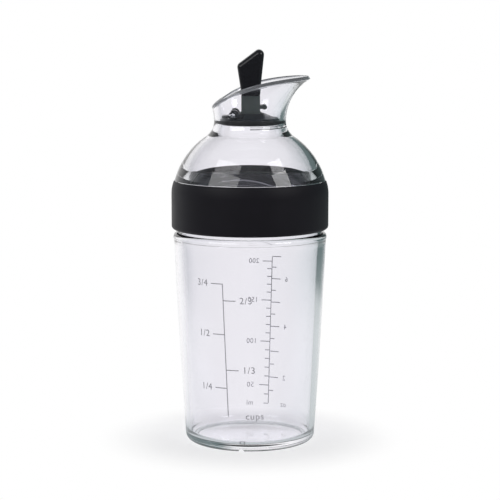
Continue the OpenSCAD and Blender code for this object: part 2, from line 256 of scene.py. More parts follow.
def thread_ridge(base, top, z, start_angle):
    """One helical ridge of trapezoid section from radius base to radius top, with run-out ends."""
    bm = bmesh.new()
    half = ridge_w / 2
    section = [(base, z - half), (top, z - half / 2), (top, z + half / 2), (base, z + half)]
    chain = [bm.verts.new((r * mm, 0, h * mm)) for r, h in section]
    edges = [bm.edges.new((chain[i], chain[(i + 1) % len(chain)])) for i in range(len(chain))]
    rise = thread_lead * thread_turns
    bmesh.ops.rotate(bm, verts=chain, cent=(0, 0, 0), matrix=Matrix.Rotation(start_angle, 3, "Z"))
    bmesh.ops.spin(bm, geom=chain + edges, cent=(0, 0, 0), axis=(0, 0, 1),
                   dvec=(0, 0, rise * mm / thread_steps), angle=2 * pi * thread_turns,
                   steps=thread_steps, use_merge=False)
    for vert in bm.verts:
        along = (vert.co.z / mm - z) / rise
        full = min(1, max(0, min(along, 1 - along)) / run_out)
        radius = hypot(vert.co.x, vert.co.y) / mm
        wanted = base + (radius - base) * max(full, ridge_least)
        vert.co.x *= wanted / radius
        vert.co.y *= wanted / radius
    bmesh.ops.holes_fill(bm, edges=[e for e in bm.edges if e.is_boundary], sides=4)
    bmesh.ops.recalc_face_normals(bm, faces=bm.faces)
    return bm


def thread_pair(name, base, top, z):
    """The two starts of a thread as one piece."""
    both = bmesh.new()
    for i in range(thread_starts):
        ridge = thread_ridge(base, top, z, 2 * pi * i / thread_starts)
        part = bpy.data.meshes.new(name)
        ridge.to_mesh(part)
        ridge.free()
        both.from_mesh(part)
        bpy.data.meshes.remove(part)
    return make_piece(name, both, clear_plastic)


neck_thread = thread_pair("neck_thread", neck_r + ridge_clear, neck_r + ridge_h, neck_thread_z)
neck_thread.visible_shadow = False
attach(neck_thread, "cup")
skirt_thread = thread_pair("skirt_thread", skirt_in_r - ridge_clear, skirt_in_r - ridge_h,
                           neck_thread_z + thread_lead / thread_starts / 2)
skirt_thread.visible_shadow = False
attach(skirt_thread, "lid")


# Printed scales: grey ink screen-printed on the outside of the cup, cups in front and
# millilitres with fluid ounces at the back. Lines and figures are laid out flat, in
# millimetres to the reader's right and up, and then wrapped round the tapered wall.
ink_t = 0.03
ink_gap = 0.01
line_w = 0.38
figure_h = 4.1
back_figure_h = 3.3
letter_space = 1.08
print_step = 0.8
print_rise = 3
print_merge = 1e-5
print_shrink = 0.968
cup_ml = 236.59
ounce_ml = 29.574
mm3_per_ml = 1000

# Screen ink is matt and a little uneven, with the grain of the mesh that it was pressed through.
screen_ink, tree, place = new_finish("screen_printed_grey_ink")
mesh_marks = add_node(tree, "ShaderNodeTexNoise", {
    "Vector": place, "Scale": per_mm(0.5), "Detail": 3.0})
shade = blend_colours(tree, mesh_marks.outputs["Fac"], "#88878f", "#a6a5ac")
ink_bump = add_node(tree, "ShaderNodeBump", {
    "Height": mesh_marks.outputs["Fac"], "Strength": 0.3, "Distance": 0.02 * mm})
surface(tree, {"Base Color": shade, "Roughness": 0.6, "Normal": ink_bump.outputs["Normal"]})


def mark(millilitres):
    """Printed height of a mark, from the height to which this much fills the tapered cup."""
    taper = (neck_in_r - floor_in_r) / (shoulder_h - floor_h - floor_round)
    low_r = floor_in_r - taper * floor_round
    radius = (low_r ** 3 + 3 * taper * mm3_per_ml * millilitres / pi) ** (1 / 3)
    return print_shrink * (floor_h + (radius - low_r) / taper)


def bar(bm, left, right, low, high):
    """A flat printed line, cut up so that it can follow the wall."""
    corner = Matrix.Translation(((left + right) / 2, (low + high) / 2, 0))
    size = Matrix.Diagonal(((right - left) / 2, (high - low) / 2, 1, 1))
    bmesh.ops.create_grid(bm, x_segments=max(1, round((right - left) / print_step)),
                          y_segments=max(1, round((high - low) / print_rise)), size=1,
                          matrix=corner @ size)


def figure(bm, words, middle, height, size=figure_h):
    """Printed figures or a unit, centred on a point of the flat layout."""
    text = bpy.data.curves.new("figure", "FONT")
    text.body = words
    text.size = size
    text.space_character = letter_space
    text.align_x = "CENTER"
    text.align_y = "CENTER"
    holder = bpy.data.objects.new("figure", text)
    bpy.context.collection.objects.link(holder)
    drawn = holder.evaluated_get(bpy.context.evaluated_depsgraph_get())
    flat = bpy.data.meshes.new_from_object(drawn)
    flat.transform(Matrix.Translation((middle, height, 0)))
    bm.from_mesh(flat)
    bpy.data.objects.remove(holder)
    bpy.data.curves.remove(text)
    bpy.data.meshes.remove(flat)


def wrap_on_cup(name, bm, azimuth, lean, foot):
    """Wraps a flat layout round the cup, azimuth degrees to the right of the front at its foot."""
    bmesh.ops.remove_doubles(bm, verts=bm.verts, dist=print_merge)
    for vert in bm.verts:
        radius = wall_r(vert.co.y) + ink_gap
        angle = radians(azimuth + lean * (vert.co.y - foot)) + vert.co.x / radius
        vert.co = Vector((radius * sin(angle), -radius * cos(angle), vert.co.y)) * mm
    bmesh.ops.recalc_face_normals(bm, faces=bm.faces)
    for face in bm.faces:
        outward = Vector((face.calc_center_median().x, face.calc_center_median().y, 0))
        if face.normal.dot(outward) < 0:
            face.normal_flip()
    piece = make_piece(name, bm, screen_ink)
    film = piece.modifiers.new("ink_film", "SOLIDIFY")
    film.thickness = ink_t * mm
    film.offset = 1
    return piece


front_azimuth = -18.4
front_lean = -0.0447
front_bottom = 15.9
front_tick = 5.5
front_label = 9.9
unit_right = 1.6
unit_up = 0.2
layout = bmesh.new()
front_top = mark(3 / 4 * cup_ml)
bar(layout, -line_w / 2, line_w / 2, front_bottom, front_top + line_w / 2)
for words, share, side in [("3/4", 3 / 4, -1), ("1/2", 1 / 2, -1), ("1/4", 1 / 4, -1),
                           ("2/3", 2 / 3, 1), ("1/3", 1 / 3, 1)]:
    z = mark(share * cup_ml)
    ends = sorted([side * line_w / 2, side * front_tick])
    bar(layout, ends[0], ends[1], z - line_w / 2, z + line_w / 2)
    figure(layout, words, side * front_label, z)
figure(layout, "cups", front_label + unit_right, front_bottom + unit_up)
cup_scale = wrap_on_cup("front_scale", layout, front_azimuth, front_lean, front_bottom)
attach(cup_scale, "cup")

back_azimuth = 162.0
back_lean = -0.0248
back_drop = 6.0
back_bottom = 10.2
back_tick = 4.9
back_minor = 2.4
back_ml_label = 9.2
back_ounce_label = -8.3
first_ml = 30
last_ml = 200
ml_step = 10
ml_major = 50
first_half_ounce = 3
last_half_ounce = 14
figure_every = 4
layout = bmesh.new()
back_top = mark(last_half_ounce / 2 * ounce_ml) - back_drop
bar(layout, -line_w / 2, line_w / 2, back_bottom, back_top)
for millilitres in range(first_ml, last_ml + 1, ml_step):
    z = mark(millilitres) - back_drop
    major = millilitres % ml_major == 0
    bar(layout, line_w / 2, back_tick if major else back_minor, z - line_w / 2, z + line_w / 2)
    if major:
        figure(layout, str(millilitres), back_ml_label, z, back_figure_h)
for half_ounces in range(first_half_ounce, last_half_ounce + 1):
    z = mark(half_ounces / 2 * ounce_ml) - back_drop
    whole = half_ounces % 2 == 0
    bar(layout, -back_tick if whole else -back_minor, -line_w / 2, z - line_w / 2, z + line_w / 2)
    if half_ounces % figure_every == 0:
        figure(layout, str(half_ounces // 2), back_ounce_label, z, back_figure_h)
figure(layout, "ml", back_ml_label, back_bottom, back_figure_h)
figure(layout, "oz", back_ounce_label, back_bottom, back_figure_h)
back_scale = wrap_on_cup("back_scale", layout, back_azimuth, back_lean, back_bottom)
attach(back_scale, "cup")


# Lid gasket: a flat ring of translucent silicone, cut from moulded sheet, that lies on the
# cup's rim round the lid's sleeve and is squeezed as the lid is screwed down.
gasket_inset = 0.2
gasket_round = 0.3


def rounded_ring(low, high, rounding):
    """Outline of a ring's section between two (radius, height) corners, with rounded edges."""
    (r0, z0), (r1, z1), e = low, high, rounding
    return (arc((r0 + e, z0 + e), e, 180, 270, 4) + arc((r1 - e, z0 + e), e, 270, 360, 4)
            + arc((r1 - e, z1 - e), e, 0, 90, 4) + arc((r0 + e, z1 - e), e, 90, 180, 4))


# Silicone sheet lets light through, a little clouded, and has a satin skin.
gasket_silicone, tree, place = new_finish("translucent_silicone_sheet")
cloud = add_node(tree, "ShaderNodeTexNoise", {"Vector": place, "Scale": per_mm(3), "Detail": 2.0})
milk = blend_colours(tree, cloud.outputs["Fac"], "#cdd0d4", "#dfe1e4")
surface(tree, {"Base Color": milk, "Roughness": 0.32, "IOR": 1.42, "Transmission Weight": 1.0})

gasket_low, gasket_high = (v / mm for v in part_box("lid_gasket"))
gasket_outline = rounded_ring((neck_in_r - gasket_inset, gasket_low.z),
                              (gasket_high.x, gasket_high.z), gasket_round)
gasket_ring = make_piece("gasket_ring", spin_outline(gasket_outline, closed=True), gasket_silicone)
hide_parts("lid_gasket")
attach(gasket_ring, "lid_seal")


# Lid: one clear moulding of skirt, thick shoulder, dome, neck and flared spout. It is spun like
# the cup, and then each column of the spout is drawn back to the slanted, bowed rim. Two ears
# in the neck hold the stopper's pin, and a half-round ledge stops the closed stopper.
skirt_wall = 1.0
skirt_z0 = 94.6
sleeve_r = 29.6
lid_in_r = 27.3
sleeve_z0 = 106.4
seat_z = 112.2
hook_z = 113.6
hook_in_r = 32.3
collar_z1 = 115.2
dome_edge_r = 33.05
dome_z = 106.0
dome_r = hypot(dome_edge_r, collar_z1 - dome_z)
dome_wall = 5.7
cavity_rise = 4.6
cavity_r = dome_r - dome_wall
cavity_z = dome_z + cavity_rise
neck_round = 8.0
bore_r = 13.2
throat_wall = 2.5
bore_fillet = 7.0
throat_r = bore_r + throat_wall
throat_z = dome_z + sqrt((dome_r + neck_round) ** 2 - (throat_r + neck_round) ** 2)
neck_tilt = degrees(atan2(throat_z - dome_z, throat_r + neck_round))
flare_r = 21.2
flare_turn = 80
lip_wall = 1.3
lip_round = 0.55
lip_band = 0.8
flare_steps = 30
flare_centre = Vector((throat_r + flare_r, throat_z))

hinge_x = -6.8
hinge_z = 144.145
ear_r = 1.9
ear_half = 8.4
ear_root = 12.9
pin_r = 1.05
pin_half = 11.0
pin_hole = 0.05
ledge_w = 1.2
ledge_z0 = 137.595
ledge_z1 = 138.995
ledge_sink = 1.0
ledge_round = 0.3

rim_back_out = 1.3
rim_back_rise = 3.6
rim_tip_x = 27.6
rim_tip_rise = 19.1
back_pull = Vector((1.4, 6.0))
tip_pull = Vector((31.1, 1.6))
rim_back = Vector((-throat_r - rim_back_out, throat_z + rim_back_rise))
rim_tip = Vector((rim_tip_x, throat_z + rim_tip_rise))
rim_curve = [rim_back, rim_back + back_pull, rim_tip - tip_pull, rim_tip]
halvings = 40
tolerance = 1e-3


def halved(test, low, high):
    """Place between low and high at which the test stops being true."""
    for _ in range(halvings):
        middle = (low + high) / 2
        if test(middle):
            low = middle
        else:
            high = middle
    return low


def rim_point(t):
    """A point of the rim's curve in side view, from its low back to the pouring tip."""
    a, b, c, d = rim_curve
    return (1 - t) ** 3 * a + 3 * t * (1 - t) ** 2 * b + 3 * t ** 2 * (1 - t) * c + t ** 3 * d


def rim_height(x):
    """Height of the rim over a place x along the bottle."""
    return rim_point(halved(lambda t: rim_point(t).x < x, 0, 1)).y


def flare_point(angle, depth):
    """A point of the trumpet at an angle of its flare, from its outer (0) to its inner wall (1)."""
    wall = throat_wall + (lip_wall - throat_wall) * angle / flare_turn
    turn = radians(angle)
    return flare_centre + (flare_r + depth * wall) * Vector((-cos(turn), sin(turn)))


def flare_end(azimuth):
    """Angle of the flare at which the middle of one column's wall meets the rim."""
    def below(angle):
        point = flare_point(angle, 0.5)
        return point.y < rim_height(point.x * cos(azimuth))
    return halved(below, 0, flare_turn)


def bearing(point):
    """Angle round the bottle's axis at which a point lies."""
    return atan2(point.y, point.x)


column_ends = {}


def column_end(point):
    """The flare's end in the column that holds a point, worked out once for each column."""
    key = round(abs(bearing(point)), 4)
    if key not in column_ends:
        column_ends[key] = flare_end(bearing(point))
    return column_ends[key]


fillet_z = cavity_z + sqrt((cavity_r + bore_fillet) ** 2 - (bore_r + bore_fillet) ** 2)
fillet_turn = degrees(atan2(fillet_z - cavity_z, bore_r + bore_fillet))
flare_angles = [flare_turn * i / flare_steps for i in range(flare_steps + 1)]
lid_outline = (
    [(skirt_in_r, skirt_z0), (skirt_in_r + skirt_wall, skirt_z0), (skirt_in_r + skirt_wall, hook_z),
     (hook_in_r, hook_z), (hook_in_r, collar_z1)]
    + arc((0, dome_z), dome_r, degrees(atan2(collar_z1 - dome_z, dome_edge_r)), neck_tilt, 32)
    + arc((throat_r + neck_round, throat_z), neck_round, 180 + neck_tilt, 180, 12)[1:]
    + [tuple(flare_point(a, 0)) for a in flare_angles[1:]]
    + [tuple(flare_point(a, 1)) for a in reversed(flare_angles)]
    + arc((bore_r + bore_fillet, fillet_z), bore_fillet, 180, 180 + fillet_turn, 14)
    + arc((0, cavity_z), cavity_r, fillet_turn, degrees(acos(lid_in_r / cavity_r)), 32)[1:]
    + [(lid_in_r, sleeve_z0), (sleeve_r, sleeve_z0), (sleeve_r, seat_z), (skirt_in_r, seat_z)]
)
bm = spin_outline(lid_outline, closed=True)
on_rim = set()
for vert in bm.verts:
    radius = hypot(vert.co.x, vert.co.y) / mm
    from_centre = Vector((radius, vert.co.z / mm)) - flare_centre
    if vert.co.z / mm < throat_z + tolerance or radius > flare_centre.x:
        continue
    inside = from_centre.length > flare_r + lip_wall / 2
    azimuth = bearing(vert.co)
    angle = degrees(atan2(from_centre.y, -from_centre.x))
    if angle > flare_turn - tolerance:
        on_rim.add(vert)
    drawn = flare_point(angle * column_end(vert.co) / flare_turn, inside)
    vert.co = Vector((drawn.x * cos(azimuth), drawn.x * sin(azimuth), drawn.y)) * mm
lip_edges = [e for e in bm.edges if on_rim.issuperset(e.verts)
             and abs(bearing(e.verts[0].co) - bearing(e.verts[1].co)) > tolerance]
bmesh.ops.bevel(bm, geom=lip_edges, offset=lip_round * mm, offset_type="OFFSET", affect="EDGES",
                segments=4, profile=0.5, material=-1, clamp_overlap=True)
ears = [rod(ear_r, (hinge_x, side * ear_half, hinge_z), (hinge_x, side * ear_root, hinge_z))
        for side in (-1, 1)]
ledge_outline = rounded_ring((bore_r - ledge_w, ledge_z0), (bore_r + ledge_sink, ledge_z1),
                             ledge_round)
ledge = spin_outline(ledge_outline, closed=True)
bmesh.ops.bisect_plane(ledge, geom=ledge.verts[:] + ledge.edges[:] + ledge.faces[:],
                       dist=merge_dist, plane_co=(0, 0, 0), plane_no=(1, 0, 0), clear_inner=True)
bmesh.ops.holes_fill(ledge, edges=[e for e in ledge.edges if e.is_boundary], sides=0)
bmesh.ops.recalc_face_normals(ledge, faces=ledge.faces)
pin_bore = rod(pin_r + pin_hole, (hinge_x, -pin_half - pin_hole, hinge_z),
               (hinge_x, pin_half + pin_hole, hinge_z))
bm = carve(carve(bm, ears + [ledge], "UNION"), [pin_bore], "DIFFERENCE")
clear_lid = make_piece("clear_lid", bm, clear_plastic)

# The spout's lip takes a grey, less clear finish along its edge. The grey is painted light: it
# stands in for the light that the clear lip carries round its rounded edge.
lip_painted_light, tree, place = new_finish("copolyester_lip_painted_light")
lip_mottle = add_node(tree, "ShaderNodeTexNoise", {"Vector": place, "Scale": per_mm(0.8), "Detail": 3.0})
# Painted light: this grey stands in for light carried round the clear lip's edge.
painted_lip_light = blend_colours(tree, lip_mottle.outputs["Fac"], "#8e9096", "#b4b6bb")
lip_roughness = add_node(tree, "ShaderNodeMapRange", {
    "Value": lip_mottle.outputs["Fac"], "To Min": 0.14, "To Max": 0.26})
surface(tree, {"Base Color": painted_lip_light, "Roughness": lip_roughness.outputs["Result"], "IOR": 1.54,
               "Transmission Weight": 0.7})
# The faces along the rim take the lip's painted light.
clear_lid.data.materials.append(lip_painted_light)
for face in clear_lid.data.polygons:
    x, y, z = (v / mm for v in face.center)
    if z > rim_back.y and hypot(x, y) > bore_r:
        angle = degrees(atan2(z - flare_centre.y, flare_centre.x - hypot(x, y)))
        lip = column_end(clear_lid.data.vertices[face.vertices[0]].co)
        if angle > lip - degrees(lip_band / flare_r):
            face.material_index = 1
clear_lid.visible_shadow = False
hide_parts("spout_dome")
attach(clear_lid, "lid")


# Grip band: a sleeve of soft-touch elastomer, moulded over the lid's skirt and hooked over
# its top and bottom edges. It is bonded to the clear plastic, so that no air lies between.
bond = 0.02
band_low, band_high = (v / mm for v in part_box("grip_band"))
band_r = band_high.x - bond
band_round = 1.5
band_crown = 1.1
crown_h = 5.7
band_edge = 0.35
band_edge_from = 15
band_lip_in = 0.8


def black_finish(name, patch, colours, roughness, gloss, grain=None):
    """A near-black finish whose colour and roughness drift in patches.

    patch is the patches' size in millimetres and their detail, gloss the shader's IOR and
    specular level, and grain the fine grain's size and detail, strength and height.
    """
    finish, tree, place = new_finish(name)
    size, detail = patch
    mottle = add_node(tree, "ShaderNodeTexNoise", {
        "Vector": place, "Scale": per_mm(size), "Detail": detail})
    satin = add_node(tree, "ShaderNodeMapRange", {
        "Value": mottle.outputs["Fac"], "To Min": roughness[0], "To Max": roughness[1]})
    ior, level = gloss
    sockets = {"Base Color": blend_colours(tree, mottle.outputs["Fac"], *colours),
               "Roughness": satin.outputs["Result"], "IOR": ior, "Specular IOR Level": level}
    if grain:
        size, detail, strength, height = grain
        pores = add_node(tree, "ShaderNodeTexNoise", {
            "Vector": place, "Scale": per_mm(size), "Detail": detail})
        sockets["Normal"] = add_node(tree, "ShaderNodeBump", {
            "Height": pores.outputs["Fac"], "Strength": strength,
            "Distance": height * mm}).outputs["Normal"]
    surface(tree, sockets)
    return finish


# Soft-touch elastomer: satin, with the fine grain of an etched mould, which spreads highlights.
soft_black = black_finish("soft_touch_elastomer", (7, 4.0), ("#110f15", "#17151c"), (0.44, 0.58),
                          (1.5, 0.22), (0.22, 2.0, 0.35, 0.03))

crown_r = (crown_h ** 2 + band_crown ** 2) / (2 * band_crown)
crown_turn = degrees(asin(crown_h / crown_r))
crown_end = arc((band_r - crown_r, band_high.z - crown_h), crown_r, 0, crown_turn, 10)
skirt_r = skirt_in_r + skirt_wall
top_corner = crown_end[-1]
band_outline = (
    arc((band_r - band_round, band_low.z + band_round), band_round, -90, 0, 10)
    + crown_end[:-1]
    + arc((top_corner[0] - band_edge, top_corner[1] - band_edge), band_edge, band_edge_from, 90, 5)
    + [(hook_in_r - bond, band_high.z), (hook_in_r - bond, hook_z - bond),
       (skirt_r - bond, hook_z - bond), (skirt_r - bond, skirt_z0 + bond),
       (skirt_r - band_lip_in, skirt_z0 + bond), (skirt_r - band_lip_in, band_low.z)]
)
soft_band = make_piece("soft_band", spin_outline(band_outline, closed=True), soft_black)
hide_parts("grip_band")
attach(soft_band, "lid")


# Hinge pin: a length of drawn stainless wire with chamfered ends, pushed through the two
# clear ears. Only its ends show, as light round spots.
pin_chamfer = 0.2

# Drawn stainless steel: bright, with fine lines along the wire that the die has left.
steel_wire, tree, place = new_finish("drawn_stainless_wire")
along = add_node(tree, "ShaderNodeMapping", {"Vector": place, "Scale": (1, 0.05, 1)})
drawing = add_node(tree, "ShaderNodeTexNoise", {
    "Vector": along.outputs["Vector"], "Scale": per_mm(0.15), "Detail": 2.0})
steel = blend_colours(tree, drawing.outputs["Fac"], "#b9bbbf", "#cfd1d4")
polish = add_node(tree, "ShaderNodeMapRange", {
    "Value": drawing.outputs["Fac"], "To Min": 0.18, "To Max": 0.34})
surface(tree, {"Base Color": steel, "Metallic": 1.0, "Roughness": polish.outputs["Result"]})


def soften(bm, width, sharp_angle=30, segments=3):
    """Rounds every edge of a solid that is sharper than an angle."""
    sharp = [e for e in bm.edges if e.calc_face_angle(0) > radians(sharp_angle)]
    bmesh.ops.bevel(bm, geom=sharp, offset=width * mm, offset_type="OFFSET", affect="EDGES",
                    segments=segments, profile=0.5, material=-1, clamp_overlap=True)
    return bm


wire = rod(pin_r, (hinge_x, -pin_half, hinge_z), (hinge_x, pin_half, hinge_z))
wire = soften(wire, pin_chamfer)
steel_pin = make_piece("steel_pin", wire, steel_wire)
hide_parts("hinge_pin")
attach(steel_pin, "lid")


# Stopper plug: a hard black disc with a groove for its seal and a sloping hub for the lever.
# Two snap hooks, open at the back, turn on the pin, and a raised tail lies behind them.
throat_drop = 1.8
plug_z = throat_z - throat_drop
plug_gap = 0.8
plug_r = bore_r - plug_gap
seal_foot = 0.7
seal_z = plug_z + seal_foot
seal_h = 1.6
groove_depth = 1.1
groove_r = plug_r - groove_depth
deck_t = 0.9
deck_z = seal_z + seal_h + deck_t
hollow_r = 9.0
hollow_depth = 1.8
hollow_z = plug_z + hollow_depth
hub_base_r = 10.8
hub_r = 6.0
hub_h = 2.2
hub_z = deck_z + hub_h
hub_back = hub_r / 2
ear_clear = 0.4
hook_r = 2.25
hook_w = 3.6
hook_mouth = 1.75
mouth_angle = 150
tail_half = 3.5
tail_gap = 0.4
tail_h = 1.0
shaft_x = 0.3
peg_t = 4.4
peg_w = 7.0
peg_depth = 2.0
fit_gap = 0.05
edge_round = 0.2
join_overlap = 0.2
cutter_reach = 1
round_steps = 48

# Moulded polypropylene: black and half glossy, with the grain of a spark-eroded mould.
hard_black = black_finish("moulded_black_polypropylene", (4, 3.0), ("#0f1218", "#181b23"),
                          (0.24, 0.36), (1.49, 0.5), (0.12, 1.0, 0.2, 0.02))


def block(low, high):
    """A solid box between two corners."""
    low, high = Vector(low) * mm, Vector(high) * mm
    bm = bmesh.new()
    size = high - low
    bmesh.ops.create_cube(bm, size=1, matrix=Matrix.Translation((low + high) / 2)
                          @ Matrix.Diagonal((size.x, size.y, size.z, 1)))
    return bm


plug_outline = [
    (0, hollow_z), (hollow_r, hollow_z), (hollow_r, plug_z), (plug_r, plug_z), (plug_r, seal_z),
    (groove_r, seal_z), (groove_r, seal_z + seal_h), (plug_r, seal_z + seal_h), (plug_r, deck_z),
    (hub_base_r, deck_z), (hub_r, hub_z), (0, hub_z)]
disc = soften(spin_outline(plug_outline, closed=False), edge_round)
above = 2 * hub_h
cuts = [block((-hub_base_r - hub_r, -plug_r, deck_z), (-hub_back, plug_r, deck_z + above))]
adds = []
holes = [block((shaft_x - peg_t / 2 - fit_gap, -peg_w / 2 - fit_gap, hub_z - peg_depth - fit_gap),
               (shaft_x + peg_t / 2 + fit_gap, peg_w / 2 + fit_gap, hub_z + above))]
hook_end = ear_half - ear_clear
for side in (-1, 1):
    near, far = side * (hook_end - hook_w), side * hook_end
    cuts.append(rod(ear_r + ear_clear, (hinge_x, far, hinge_z), (hinge_x, side * plug_r, hinge_z)))
    adds.append(rod(hook_r, (hinge_x, near, hinge_z), (hinge_x, far, hinge_z), round_steps))
    adds.append(block((hinge_x, min(near, far), deck_z - join_overlap),
                      (-hub_back + join_overlap, max(near, far), hub_z)))
    holes.append(rod(pin_r + pin_hole, (hinge_x, near - side * cutter_reach, hinge_z),
                     (hinge_x, far + side * join_overlap, hinge_z)))
    mouth = block((0, -hook_w / 2 - join_overlap, -hook_mouth / 2),
                  (2 * hook_r, hook_w / 2 + join_overlap, hook_mouth / 2))
    bmesh.ops.rotate(mouth, verts=mouth.verts, cent=(0, 0, 0),
                     matrix=Matrix.Rotation(-radians(mouth_angle), 3, "Y"))
    middle = side * (hook_end - hook_w / 2)
    bmesh.ops.translate(mouth, verts=mouth.verts, vec=Vector((hinge_x, middle, hinge_z)) * mm)
    holes.append(mouth)
tail_front = hinge_x - hook_r - tail_gap
tail = block((-plug_r, -tail_half, deck_z - deck_t), (tail_front, tail_half, deck_z + tail_h))
tail = carve(tail, [rod(plug_r, (0, 0, plug_z), (0, 0, hub_z + hub_h), turn_steps)], "INTERSECT")
adds.append(soften(tail, edge_round))
disc = carve(carve(carve(disc, cuts, "DIFFERENCE"), adds, "UNION"), holes, "DIFFERENCE")
plug_disc = make_piece("plug_disc", disc, hard_black)
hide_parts("stopper_plug")
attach(plug_disc, "stopper")


# Plug seal: a black silicone ring stretched into the plug's groove. Its land is squeezed
# flat against the bore, where it wets the clear wall and shows through it at full width.
squeeze = 0.02
land_round = 0.42
land_turn = 120
land_inset = 0.1

# Black silicone rubber: smooth but dull.
silicone_black = black_finish("black_silicone_rubber", (2.5, 2.0), ("#131316", "#1c1c20"),
                              (0.4, 0.55), (1.42, 0.5))

land_r = bore_r + squeeze - land_round
seal_outline = (
    [(groove_r, seal_z), (plug_r, seal_z)]
    + arc((land_r, seal_z + land_inset), land_round, -land_turn, 0, 7)
    + arc((land_r, seal_z + seal_h - land_inset), land_round, 0, land_turn, 7)
    + [(plug_r, seal_z + seal_h), (groove_r, seal_z + seal_h)])
seal_ring = make_piece("seal_ring", spin_outline(seal_outline, closed=True), silicone_black)
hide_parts("plug_seal")
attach(seal_ring, "stopper")


# Lever: a hard shaft moulded with a blade for the grip and a peg that is pressed into the
# hub. Its foot flares out on to the hub, and a small round bar stands ahead of it.
shaft_half = 4.0
shaft_w = 11.0
shaft_h = 8.0
shaft_round = 1.8
foot_flare = 1.2
blade_h = 10.0
toe_r = 1.1
toe_reach = 5.9
toe_h = 2.8
toe_x = shaft_x + toe_reach
toe_z = hub_z + toe_h
toe_half = 4.0
web_half = 0.8
grip_z = hub_z + shaft_h

# Polypropylene too, in a lighter black with a green cast than the plug. The lightness is painted
# reflection: it stands in for the soft boxes' light on the shaft, seen through the clear spout.
shaft_painted_reflection = black_finish("greenish_black_painted_reflection", (5, 3.0), ("#2a3231", "#3d4645"),
                           (0.28, 0.42), (1.49, 0.5), (0.15, 1.0, 0.2, 0.02))


def drawn_out(outline, half_width):
    """A side view of (x, height) points drawn out along Y to both sides of the middle."""
    bm = bmesh.new()
    face = bm.faces.new([bm.verts.new((x * mm, -half_width * mm, z * mm)) for x, z in outline])
    drawn = bmesh.ops.extrude_face_region(bm, geom=[face])["geom"]
    moved = [v for v in drawn if isinstance(v, bmesh.types.BMVert)]
    bmesh.ops.translate(bm, verts=moved, vec=(0, 2 * half_width * mm, 0))
    bmesh.ops.recalc_face_normals(bm, faces=bm.faces)
    return bm


flare_out = shaft_half + foot_flare
side_view = (
    arc((shaft_x + flare_out, hub_z + foot_flare), foot_flare, -90, -180, 8)
    + [(shaft_x + shaft_half, grip_z), (shaft_x - shaft_half, grip_z)]
    + arc((shaft_x - flare_out, hub_z + foot_flare), foot_flare, 0, -90, 8))
post = block((shaft_x - flare_out, -shaft_w / 2, hub_z - cutter_reach),
             (shaft_x + flare_out, shaft_w / 2, grip_z + cutter_reach))
uprights = [e for e in post.edges if abs(e.verts[0].co.z - e.verts[1].co.z) > 0.5 * mm]
bmesh.ops.bevel(post, geom=uprights, offset=shaft_round * mm, offset_type="OFFSET", affect="EDGES",
                segments=8, profile=0.5, material=-1)
shaft = carve(drawn_out(side_view, shaft_w), [post], "INTERSECT")
blade = block((shaft_x - peg_t / 2, -peg_w / 2, hub_z - peg_depth),
              (shaft_x + peg_t / 2, peg_w / 2, grip_z + blade_h))
toe_bar = soften(rod(toe_r, (toe_x, -toe_half, toe_z), (toe_x, toe_half, toe_z)), edge_round)
toe_web = block((shaft_x, -toe_half, toe_z - web_half), (toe_x, toe_half, toe_z + web_half))
shaft = carve(shaft, [blade, toe_bar, toe_web], "UNION")
shaft = carve(shaft, [rod(hook_r + fit_gap, (hinge_x, -ear_half, hinge_z),
                          (hinge_x, ear_half, hinge_z), round_steps)], "DIFFERENCE")
# The shaft takes the black with painted reflection.
lever_shaft = make_piece("lever_shaft", shaft, shaft_painted_reflection)
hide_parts("lever")
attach(lever_shaft, "stopper")


# Thumb grip: elastomer moulded over the lever's blade, wider at its slanted top, with full
# rounded edges. The thumb pushes it back to open the stopper, and keeps it a little shiny.
grip_back = (shaft_x - 3.8, 4.5, hub_z + 19.9)
grip_back_round = 2.0
grip_front = (shaft_x + 3.6, 4.3, hub_z + 25.2)
grip_front_round = 2.18
grip_foot_h = 0.2
flat_turn = radians(0.4)

# The same elastomer as the band, polished by the thumb, so that its edges catch the light.
shiny_black = black_finish("worn_shiny_elastomer", (3, 3.0), ("#0f0f13", "#17171c"), (0.16, 0.3),
                           (1.5, 0.45), (0.25, 1.0, 0.15, 0.02))

bm = bmesh.new()
for side in (-1, 1):
    for (x, y, z), radius in ((grip_back, grip_back_round), (grip_front, grip_front_round)):
        bmesh.ops.create_uvsphere(bm, u_segments=round_steps, v_segments=round_steps // 2,
                                  radius=radius * mm,
                                  matrix=Matrix.Translation(Vector((x, side * y, z)) * mm))
    for front in (-1, 1):
        corner = Vector((shaft_x + front * (shaft_half - shaft_round),
                         side * (shaft_w / 2 - shaft_round), grip_z + grip_foot_h / 2)) * mm
        bmesh.ops.create_cone(bm, cap_ends=True, segments=round_steps, radius1=shaft_round * mm,
                              radius2=shaft_round * mm, depth=grip_foot_h * mm,
                              matrix=Matrix.Translation(corner))
hull = bmesh.ops.convex_hull(bm, input=bm.verts)
spare = [v for v in hull["geom_interior"] + hull["geom_unused"]
         if isinstance(v, bmesh.types.BMVert)]
bmesh.ops.delete(bm, geom=spare, context="VERTS")
bmesh.ops.dissolve_limit(bm, angle_limit=flat_turn, verts=bm.verts, edges=bm.edges)
pocket = block((shaft_x - peg_t / 2 - fit_gap, -peg_w / 2 - fit_gap, grip_z - cutter_reach),
               (shaft_x + peg_t / 2 + fit_gap, peg_w / 2 + fit_gap, grip_z + blade_h + fit_gap))
thumb_pad = make_piece("thumb_pad", carve(bm, [pocket], "DIFFERENCE"), shiny_black,
                       sharp_angle=50)
even = thumb_pad.modifiers.new("even_shading", "WEIGHTED_NORMAL")
even.keep_sharp = True
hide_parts("thumb_grip")
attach(thumb_pad, "stopper")


